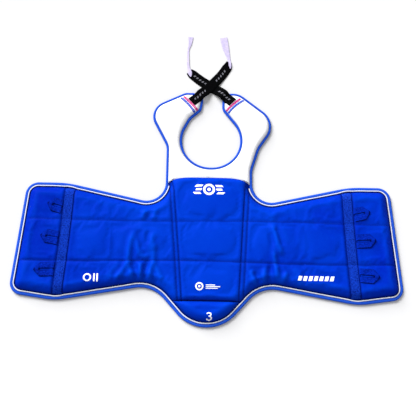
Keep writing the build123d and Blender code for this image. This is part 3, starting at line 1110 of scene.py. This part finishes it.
def sewPiping():
    blueEdge = ~isYoke(rim[:, 0], rim[:, 1] + 1.5)
    for label, zone in hemZones.items():
        if label == "neck" or label.startswith("shoulder"):
            continue
        numbers = rimRun(label, blueEdge)
        places = numbers % len(rim)
        along = alongRim(numbers)
        inset = hem["pipingInset"] + 0.25 * ripple(along, 2.2) - tapeKick(rim[places])
        rings = []
        for k, place in enumerate(places):
            ring = []
            thick = hem["pipingRound"] * (1 + 0.04 * ripple(along[k], 5.5))
            for turn in np.linspace(0, 2 * math.pi, 10, endpoint=False):
                spot = rim[place] - outward[place] * (inset[k] + thick * math.cos(turn))
                ring.append((spot[0], spot[1], hem["pipingHeight"] + thick * math.sin(turn)))
            rings.append(ring)
        piece = swept("piping" + label[0].upper() + label[1:], rings, "piping", along, 80)
        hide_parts(hemNode(label, 1))
        settle(piece, zone)


sewBinding()
sewPiping()
print("stage: binding and piping")


# Flat bands: tapes, straps, ties and ribbons, laid over the heights given for each point across them
def band(name, line, halves, floorOf, thick, finish, crown, columns=9):
    line = np.asarray(line, float)
    halves = np.broadcast_to(halves, len(line))
    headings = np.gradient(line, axis=0)
    headings /= np.linalg.norm(headings, axis=1)[:, None]
    sideways = np.stack([headings[:, 1], -headings[:, 0]], axis=1)
    even = np.linspace(-1, 1, columns)
    shares = np.sin(even * math.pi / 2) * 0.6 + even * 0.4
    along = lengthsAlong(line)
    upper, cut = [], []
    for k, spot in enumerate(line):
        for share in shares:
            upper.append(spot + sideways[k] * halves[k] * share)
            cut.append((along[k], halves[k] * share))
    upper = np.array(upper)
    share = np.tile(shares, len(line))
    base = floorOf(upper, np.repeat(along, columns), share)
    rounded = np.sqrt(np.clip(1 - np.abs(share) ** 7, 0, 1))
    topZ = base + thick * (0.45 + 0.55 * rounded) + crown * (1 - share ** 2)
    lowZ = base + thick * 0.3 * (1 - rounded)
    quads = []
    for r in range(len(line) - 1):
        for c in range(columns - 1):
            a = r * columns + c
            quads += [(a, a + 1, a + columns), (a + 1, a + columns + 1, a + columns)]
    return closed(name, np.array(quads), np.column_stack([upper, topZ]), np.column_stack([upper, lowZ]),
                  finish, np.array(cut), 60)


threads = {}                         # every stitch, gathered by zone and finish


def stitchRow(line, pitch, stitch, kind, zone=None, heightAt=None, fat=0.42, proud=0.12):
    line = spaced(line, 0.8)
    along = lengthsAlong(line[:, :2])
    starts = np.arange(pitch * 0.4, along[-1] - stitch, pitch)
    if not len(starts):
        return
    ends = [np.stack([np.interp(starts + shift, along, line[:, k]) for k in (0, 1)], axis=1)
            for shift in (0, stitch)]
    if heightAt is None:
        levels = [skinAt(end) for end in ends]
    else:
        levels = [np.broadcast_to(heightAt, len(starts)) for _ in ends]
    for k in range(len(starts)):
        a = np.array([*ends[0][k], levels[0][k] + proud])
        b = np.array([*ends[1][k], levels[1][k] + proud])
        middle = (a + b) / 2
        threads.setdefault((zone or zoneOf(middle[0], middle[1]), kind), []).append((a, b, fat))


# Rings of one stitch: place along it, girth and drop, in shares of the stitch's length and thickness
stitchRings = ((0, 0.35, -0.45), (0.18, 0.95, 0.0), (0.5, 1.05, 0.12), (0.82, 0.95, 0.0), (1, 0.35, -0.45))


def sewThreads():
    rounds = 5
    for (zone, kind), stitches in threads.items():
        points, faces, cut = [], [], []
        for number, (a, b, fat) in enumerate(stitches):
            run = b - a
            run /= np.linalg.norm(run)
            side = np.cross(run, (0, 0, 1))
            side /= np.linalg.norm(side)
            over = np.cross(side, run)
            start = len(points)
            for t, girth, dip in stitchRings:
                for k in range(rounds):
                    turn = 2 * math.pi * k / rounds
                    points.append(a + (b - a) * t + over * dip * fat * 1.6
                                  + (side * math.cos(turn) + over * math.sin(turn)) * fat * girth)
                    cut.append((number * 5.3 + t * 3, turn))
            for r in range(4):
                for k in range(rounds):
                    n = (k + 1) % rounds
                    faces.append((start + r * rounds + k, start + (r + 1) * rounds + k,
                                  start + (r + 1) * rounds + n, start + r * rounds + n))
            faces.append([start + k for k in range(rounds)])
            faces.append([start + 4 * rounds + k for k in range(rounds)][::-1])
        piece = form(f"stitches_{kind}_{zone}", points, faces, kind, cut, 70)
        if zone in folds["rigid"]:
            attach(piece, zone)
        else:
            settle(piece, zone)


folds["rigid"] = [name for name in frame["bodies"] if name.startswith(("strap", "loop"))]


# Tapes sewn down the wings' ends, with two rows of stitches each
def sewTape(side, sign):
    half, zone = tape["width"] / 2, "wing" + side.capitalize()
    ys = np.linspace(tape["top"][1] + 9, tape["bottom"][1] - 7, 120)
    line = spaced(np.stack([sign * tapeX(ys), ys], axis=1), 2.2)
    near, middle, far = (edgeDepth(line + [shift, 0]) > half - 0.2 for shift in (0.1 - half, 0, half - 0.1))
    line = line[middle & (near | far)]

    def onSkin(points, along, share):        # flat on the leather, with a slight wave in its edges
        level = skinAt(points, 5.4) + 0.1
        wave = 0.18 * np.sin(along / 21 + sign) * (np.abs(share) > 0.6)
        return level + wave

    piece = band(f"tape_{side}", line, half, onSkin, tape["thick"], "tape", 0.5, 11)
    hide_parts(f"webbing_tape_{side}")
    settle(piece, zone)
    for shift in (2.0 - half, half - 2.0):
        row = line[3:-3] + [shift, 0]
        stitchRow(row, 3.6, 2.6, "thread", zone, None, 0.4, tape["thick"] + 0.45)


sewTape("left", -1)
sewTape("right", 1)
print("stage: tapes")

# Lacing loops: webbing folded to a point, two legs side by side with a slit between them
loops = {
    "left_upper": (-1, -20, 16, 38), "left_middle": (-1, -97, 10, 44), "left_lower": (-1, -172, -2, 49),
    "right_upper": (1, -28, 12, 41), "right_middle": (1, -93, 4, 48), "right_lower": (1, -175, -4, 48),
}
loopShape = {
    "half": 17, "tip": 15, "slit": 2.2, "slitEnd": 13.5, "thick": 1.7, "fold": 0.9, "grid": 1.7,
    "rootLevel": 24, "rootSlope": -0.05697, "rootGap": 0.3,      # the line beside the tape where they start
}


def layLoop(name, sign, rootY, tilt, length):
    shape = loopShape
    half, tip = shape["half"], shape["tip"]
    fork = length - shape["slitEnd"]         # where the two legs meet
    rootX = sign * (tape["top"][0] + tape["width"] / 2 + shape["rootGap"]
                    + (rootY - shape["rootLevel"]) * shape["rootSlope"])
    lean = math.radians(tilt)
    out = np.array([sign * math.cos(lean), math.sin(lean)])
    wide = np.array([-out[1], out[0]]) * sign
    slope = shape["rootSlope"] * sign
    edge = [(half, 0), (half, length - tip), (half * 0.12, length - 1.2), (-half * 0.12, length - 1.2),
            (-half, length - tip), (-half, 0)]
    slit = [(shape["slit"], 1.5), (shape["slit"] * 0.9, fork - 4), (0, fork),
            (-shape["slit"] * 0.9, fork - 4), (-shape["slit"], 1.5)]
    mitres = [[(0, fork), (half, length - tip)], [(0, fork), (-half, length - tip)]]

    def toPlan(points):
        points = np.asarray(points, float)
        spots = np.array([rootX, rootY]) + points[:, 1:2] * out + points[:, 0:1] * wide
        root = rootX + (spots[:, 1] - rootY) * slope
        short = np.clip(sign * (root - spots[:, 0]), 0, None)
        return spots + out * short[:, None] / max(0.5, abs(out[0]))

    outer = spaced(edge + [edge[0]], shape["grid"])[:-1]
    inner = spaced(slit + [slit[0]], shape["grid"])[:-1]
    points = [*outer, *inner]
    links = [(k, (k + 1) % len(outer)) for k in range(len(outer))]
    links += [(len(outer) + k, len(outer) + (k + 1) % len(inner)) for k in range(len(inner))]
    for mitre in mitres:
        row = spaced(mitre, shape["grid"])[1:-1]
        start = len(points)
        points += [*row]
        links += [(start + k, start + k + 1) for k in range(len(row) - 1)]
    near = findable(points)
    for y in np.arange(0.8, length, shape["grid"]):
        for x in np.arange(-half + 0.8, half, shape["grid"]):
            limit = half if y < length - tip else half * (length - y) / tip
            within = abs(x) < limit - 0.7
            if within and near.find((x, y, 0))[2] > shape["grid"] * 0.6:
                points.append(np.array([x, y]))
    corners, faces = triangulated(points, links, 1e-4)
    middle = corners[faces].mean(axis=1)
    slitHalf = np.interp(middle[:, 1], [1.5, fork - 4, fork], [shape["slit"], shape["slit"] * 0.9, 0])
    inSlit = (np.abs(middle[:, 0]) < slitHalf) & (middle[:, 1] > 1.5) & (middle[:, 1] < fork)
    faces = faceUp(corners, faces[~inSlit], 1e-5)
    x, y = corners.T
    limit = np.where(y < length - tip, half, half * np.clip(length - y, 0, None) / tip)
    rimGap = np.minimum(limit - np.abs(x), 4)
    slitGap = np.where(y < fork, np.abs(x) - shape["slit"] * 0.9, np.hypot(x, y - fork))
    soft = np.sqrt(np.clip(1 - (1 - np.clip(np.minimum(rimGap, slitGap) / 1.6, 0, 1)) ** 2, 0, 1))
    mitreLine = fork + np.abs(x) * (shape["slitEnd"] - tip) / half
    folded = eased((y - mitreLine + 1.5) / 2.2)
    wear = 0.25 * np.sin(x / 3.1 + rootY) + 0.2 * np.sin(y / 5.3 + tilt)
    spots = toPlan(corners)
    base = skinAt(spots, 20) + 0.12
    base = np.maximum(base, base.mean() - 1.0)
    lift = 0.9 * eased((y - 4) / length) + wear * eased(y / 12)
    upper = base + lift + shape["thick"] * (0.35 + 0.65 * soft) + shape["fold"] * folded * soft
    lower = base + lift * 0.9
    shade = np.clip(1 - soft, 0, 1)
    cut = np.column_stack([y, np.where(x > 0, x - half / 2 - 1, x + half / 2 + 1)])
    turned = y > mitreLine
    cut[turned] = np.column_stack([x, y - length + tip - 4])[turned]
    if np.cross(spots[faces[0][1]] - spots[faces[0][0]], spots[faces[0][2]] - spots[faces[0][0]]) < 0:
        faces = faces[:, ::-1]
    piece = closed("loop_" + name, faces, np.column_stack([spots, upper]), np.column_stack([spots, lower]),
                   "loop", cut, 65, {"paintedShade": shade})
    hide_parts("lacing_loop_" + name)
    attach(piece, "loop_" + name)
    for offset in (-1, 1):
        row = toPlan([(offset * (half - 2.2), 2.5), (offset * (half - 2.2), length - tip - 1)])
        stitchRow(row, 3.4, 2.4, "thread", "loop_" + name, None, 0.34, 2.5)


for name, (sign, rootY, tilt, length) in loops.items():
    layLoop(name, sign, rootY, tilt, length)
print("stage: lacing loops")

# Elastic straps, crossed above the neck, with the cotton ties folded into their ends
straps = {
    "left": {
        "line": [(-46, 264.5), (-30, 279.5), (-10, 300), (12, 324), (30, 346), (43, 367), (48.5, 383)],
        "heights": [(-8, 13.1), (30, 13.1), (42, 9), (54, 4.2), (66, 2.4), (84, 2.5), (100, 1.0),
                    (116, 0.15), (200, 0.15)],
    },
    "right": {
        "line": [(58, 264.5), (40, 281.5), (24, 297), (0, 313.5), (-22, 327.5), (-40, 341.5), (-54.5, 354.5)],
        "heights": [(-8, 13.1), (34, 13.1), (46, 6.5), (58, 0.9), (66, 0.15), (200, 0.15)],
    },
    "half": 12.6, "thick": 1.6, "sewn": 26, "step": 1.8,
    "taper": {"left": (18, 0.56), "right": (13, 0.74)},      # run and width left at the folded ends
}
ties = {
    # y, x and half width along each tie; start is how far above the floor it leaves the strap
    "left": [(364, 52, 1.4), (373, 51, 3.6), (384, 49.5, 3.2), (402, 45, 5.5), (428, 38, 8.5),
             (453, 33.5, 9.5)],
    "right": [(339, -50, 1.6), (349, -52, 5.2), (362, -55.5, 3.8), (382, -58, 3), (414, -58, 2.6),
              (434, -53.5, 4.5), (453, -52.5, 7)],
    "thick": 0.9, "start": 2.1,
    "flat": {"left": (0.019, 0.095), "right": (0.014, 0.117)},      # metres, at the widest
    "area": {"left": 0.00117, "right": 0.00093},        # square metres, as each is folded narrower
}


def strapLevels(side):               # a strap's heights above the floor along its run, without sharp bends
    runs, levels = np.array(straps[side]["heights"]).T
    smoothRuns = np.linspace(runs[0], runs[-1], 200)
    return smoothRuns, smoothed(np.interp(smoothRuns, runs, levels), 6)


def smoothed(values, reach):         # each value averaged with those within reach on both sides
    return np.convolve(np.pad(values, reach, "edge"), np.ones(2 * reach + 1) / (2 * reach + 1), "valid")


def sewStrap(side):
    line = curved(straps[side]["line"], straps["step"])
    smoothRuns, smoothLevels = strapLevels(side)

    def resting(points, along, share):
        level = np.maximum(np.interp(along, smoothRuns, smoothLevels), 0.05)
        onShoulder = np.maximum(skinAt(points, 0) + 0.15, 6.5)
        height = np.where(along < straps["sewn"], onShoulder, level) + 0.15 * np.sin(along / 9) * share
        return np.array([smoothed(column, 3) for column in height.reshape(len(line), -1).T]).T.ravel()

    narrowing = 1 + 0.07 * np.sin(np.linspace(0, math.pi, len(line)))
    run, left = straps["taper"][side]
    toEnd = np.arange(len(line))[::-1] * straps["step"]
    narrowing *= 1 - (1 - left) * np.clip(1 - toEnd / run, 0, 1) ** 1.3
    piece = band(f"strap_{side}", line, straps["half"] * narrowing, resting, straps["thick"], "elastic", 0.2)
    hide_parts(f"strap_sewn_end_{side}", f"elastic_strap_{side}")
    a, b = folds["strap"]
    planPoint(0, a)
    planPoint(0, b)
    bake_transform(piece)
    heading = line[8] - line[0]
    heading /= np.linalg.norm(heading)
    cross = np.array([heading[1], -heading[0]])
    corners = [line[0] + heading * run + cross * shift
               for run, shift in ((2.5, -9.5), (2.5, 9.5), (17, 9.5), (17, -9.5))]
    for a, b in ((0, 1), (1, 2), (2, 3), (3, 0), (0, 2), (1, 3)):        # a box with a cross in it
        stitchRow([corners[a], corners[b]], 2.6, 1.9, "blackThread", "shoulder" + side.capitalize(), None,
                  0.36, straps["thick"] + 0.35)


def layTie(side):
    y, x, half = np.array(ties[side], float).T
    path = curved(np.column_stack([x, y, half]), 1.8)

    def lying(points, along, share):         # on the floor, after it leaves the strap's end
        twist = 0.5 * np.sin(along / 17 + len(side)) * share
        return 0.25 + np.abs(twist) + twist + ties["start"] * (1 - eased((along - 12) / 14))

    tie = band(f"tie_{side}", path[:, :2], path[:, 2], lying, ties["thick"], "tie", 0.15)
    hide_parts(f"cotton_tie_{side}")
    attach(tie, f"strap_{side}")


for side in ("left", "right"):
    sewStrap(side)
    layTie(side)
print("stage: straps and ties")

# Woven stripes across the shoulder tips
stripes = {
    "lines": {
        ("red", "left"): [(-66.5, 280), (-49.5, 263.5), (-31, 244)],
        ("blue", "left"): [(-73, 276.5), (-55, 259.5), (-37, 237)],
        ("red", "right"): [(77.5, 276), (60, 260.5), (41.5, 242.5)],
        ("blue", "right"): [(86, 272), (66, 257), (46.5, 236.5)],
    },
    "finish": {"red": "red", "blue": "stripe"},
    "half": 2.7, "thick": 0.5, "rows": 1.7,
}


def onShoulder(points, along, share):
    return skinAt(points, 5) + 0.1


def sewStripe(colour, side, points):
    hand = side.capitalize()
    line = curved(points, 1.6)
    line = line[edgeDepth(line) > hem["bindingWhite"] - 0.8]
    piece = band(f"{colour}Stripe{hand}", line, stripes["half"], onShoulder, stripes["thick"],
                 stripes["finish"][colour], 0.12, 7)
    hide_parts(f"{colour}_stripe_{side}")
    settle(piece, "shoulder" + hand)
    for offset in (-stripes["rows"], stripes["rows"]):
        stitchRow(line[1:-1] + [offset * 0.7, -offset * 0.7], 2.3, 1.6, "whiteThread", "shoulder" + hand,
                  None, 0.22, stripes["thick"] + 0.15)


for (colour, side), points in stripes["lines"].items():
    sewStripe(colour, side, points)
print("stage: stripes")

# Stitches along the hems, seams and quilting
seamStitch = {"pitch": 3.6, "length": 2.7}
for label, zone in hemZones.items():
    numbers = rimRun(label)
    places = numbers % len(rim)
    whiteEdge = isYoke(rim[places][:, 0], rim[places][:, 1])
    inset = np.where(whiteEdge, hem["bindingWhite"], hem["bindingBlue"]) - 1.7
    stitchRow(rim[places] - outward[places] * inset[:, None], hem["stitchPitch"], 2.4, "thread", zone,
              6.15, 0.34, 0.0)
for side, sign in (("left", -1), ("right", 1)):
    ys = np.linspace(body["bellySeam"] + 3, float(yokeLine(92)) - 3, 200)
    for shift in (0, panelSeam["rows"]):
        row = np.stack([seamX(side, ys) + sign * shift, ys], axis=1)
        stitchRow(row, seamStitch["pitch"], seamStitch["length"], "thread")
xs = np.linspace(-470, 470, 800)
for row in range(2):
    line = np.stack([xs, quiltY(row, xs)], axis=1)
    besideTape = np.abs(np.abs(line[:, 0]) - tapeX(line[:, 1])) > tape["width"] / 2 + 1.5
    good = (edgeDepth(line) > padding["blue"]["foot"] + 4) & besideTape
    for run in np.split(np.arange(len(line)), np.where(np.diff(good.astype(int)) != 0)[0] + 1):
        if good[run[0]] and len(run) > 4:
            stitchRow(line[run], 4.2, 3.2, "thread")
xs = np.linspace(-96, 96, 160)
stitchRow(np.stack([xs, yokeLine(xs) + 3.2], axis=1), 3.2, 2.4, "whiteThread")
xs = np.linspace(-88, 88, 160)
stitchRow(np.stack([xs, np.full(len(xs), body["bellySeam"] + 3.0)], axis=1), 3.4, 2.6, "thread", "centre")
sewThreads()
print("stage: stitches,", sum(len(stitches) for stitches in threads.values()))


# Printed marks, plain shapes of the maker's own choosing: rings, bars, slanted blocks and a size numeral
def ringShape(x, y, outerSize, innerSize):
    turns = np.linspace(0, 2 * math.pi, 49)[:-1]
    loop = np.stack([np.cos(turns), np.sin(turns)], axis=1)
    return [loop * outerSize + [x, y], loop * innerSize + [x, y]]


def barShape(x0, y0, x1, y1, slant=0):
    return [np.array([(x0, y0), (x1, y0), (x1 + slant, y1), (x0 + slant, y1)])]


def stroke(points, width):           # a bent stroke of even width, as a closed outline
    line = curved(points, 0.8)
    heading = np.gradient(line, axis=0)
    heading /= np.linalg.norm(heading, axis=1)[:, None]
    side = np.stack([heading[:, 1], -heading[:, 0]], axis=1) * width / 2
    return [np.vstack([line + side, (line - side)[::-1]])]


marks = {
    "chestMark": ("centre", [
        ringShape(2, 30.5, 14.5, 9.0), ringShape(2, 30.5, 4.2, 1.2),
        barShape(-33, 37.5, -16, 42.5, 4), barShape(-31, 28, -17, 33, 2), barShape(-33, 18.5, -16, 23.5, -4),
        barShape(20, 37.5, 37, 42.5, -4), barShape(21, 28, 35, 33, -2), barShape(20, 18.5, 37, 23.5, 4),
    ]),
    "lowerMark": ("centre", [
        ringShape(-17, -207, 9.5, 6.2), barShape(-19.5, -209.5, -14.5, -204.5),
        barShape(-2, -204.6, 20, -202.6), barShape(-2, -208.4, 32, -206.4), barShape(-2, -212.2, 26, -210.2),
    ]),
    "wingMarkLeft": ("wingLeft", [
        ringShape(-281.5, -190, 9.5, 6.2),
        barShape(-267, -199.5, -263.4, -180.5), barShape(-259.6, -199.5, -256, -180.5),
    ]),
    "wingMarkRight": ("wingRight", [
        barShape(214 + 12.6 * k, -189.5, 222.4 + 12.6 * k, -178.5, 3.2) for k in range(7)
    ]),
    "sizeNumeral": ("belly", [
        stroke([(1.6, -271), (3.6, -269.3), (7.1, -268.8), (10.8, -270.3), (11.2, -273.3), (8.6, -275.8),
                (5.6, -276.3)], 2.6),
        stroke([(5.6, -276.1), (9.1, -276.7), (12.1, -279.2), (11.4, -282.9), (7.1, -284.7), (3.3, -284.1),
                (1, -282.1)], 2.6),
    ]),
}


def inside(points, loop):
    x, y = points.T
    result = np.zeros(len(points), bool)
    for (x0, y0), (x1, y1) in zip(loop, np.roll(loop, -1, axis=0)):
        crossing = (y0 > y) != (y1 > y)
        with np.errstate(divide="ignore", invalid="ignore"):
            result ^= crossing & (x < (x1 - x0) * (y - y0) / (y1 - y0) + x0)
    return result


def pressPrint(name, zone, shapes):
    uppers, faceSets, start = [], [], 0
    for loopsOf in shapes:
        points, links = [], []
        for loop in loopsOf:
            loop = spaced(np.vstack([loop, loop[:1]]), 1.3)[:-1]
            first = len(points)
            points += [*loop]
            links += [(first + k, first + (k + 1) % len(loop)) for k in range(len(loop))]
        low, high = np.min(points, axis=0), np.max(points, axis=0)
        grid = np.array([(x, y) for y in np.arange(low[1] + 0.8, high[1], 1.8)
                         for x in np.arange(low[0] + 0.8, high[0], 1.8)])
        near = findable(points)
        points += [p for p in grid if near.find((*p, 0))[2] > 0.8]
        corners, faces = triangulated(points, links, 1e-4)
        middle = corners[faces].mean(axis=1)
        good = inside(middle, loopsOf[0])
        if len(loopsOf) > 1:
            good &= ~inside(middle, loopsOf[1])
        uppers.append(corners)
        faceSets.append(faceUp(corners, faces[good], 1e-6) + start)
        start += len(corners)
    flat = np.vstack(uppers)
    level = skinAt(flat)
    piece = closed(name, np.vstack(faceSets), np.column_stack([flat, level + 0.22]),
                   np.column_stack([flat, level - 0.25]), "ink", flat, 60)
    settle(piece, zone)


for name, (zone, shapes) in marks.items():
    pressPrint(name, zone, shapes)
print("stage: printed marks")

# Floor
ground = {"reach": 40, "cells": 60, "gap": 0.3}
lines = np.linspace(-ground["reach"], ground["reach"], ground["cells"] + 1) / mm
spots = [(x, y, -ground["gap"]) for y in lines for x in lines]
width = ground["cells"] + 1
cells = [(r * width + c, r * width + c + 1, (r + 1) * width + c + 1, (r + 1) * width + c)
         for r in range(ground["cells"]) for c in range(ground["cells"])]
form("floor", spots, cells, "floor")
print("stage: floor")
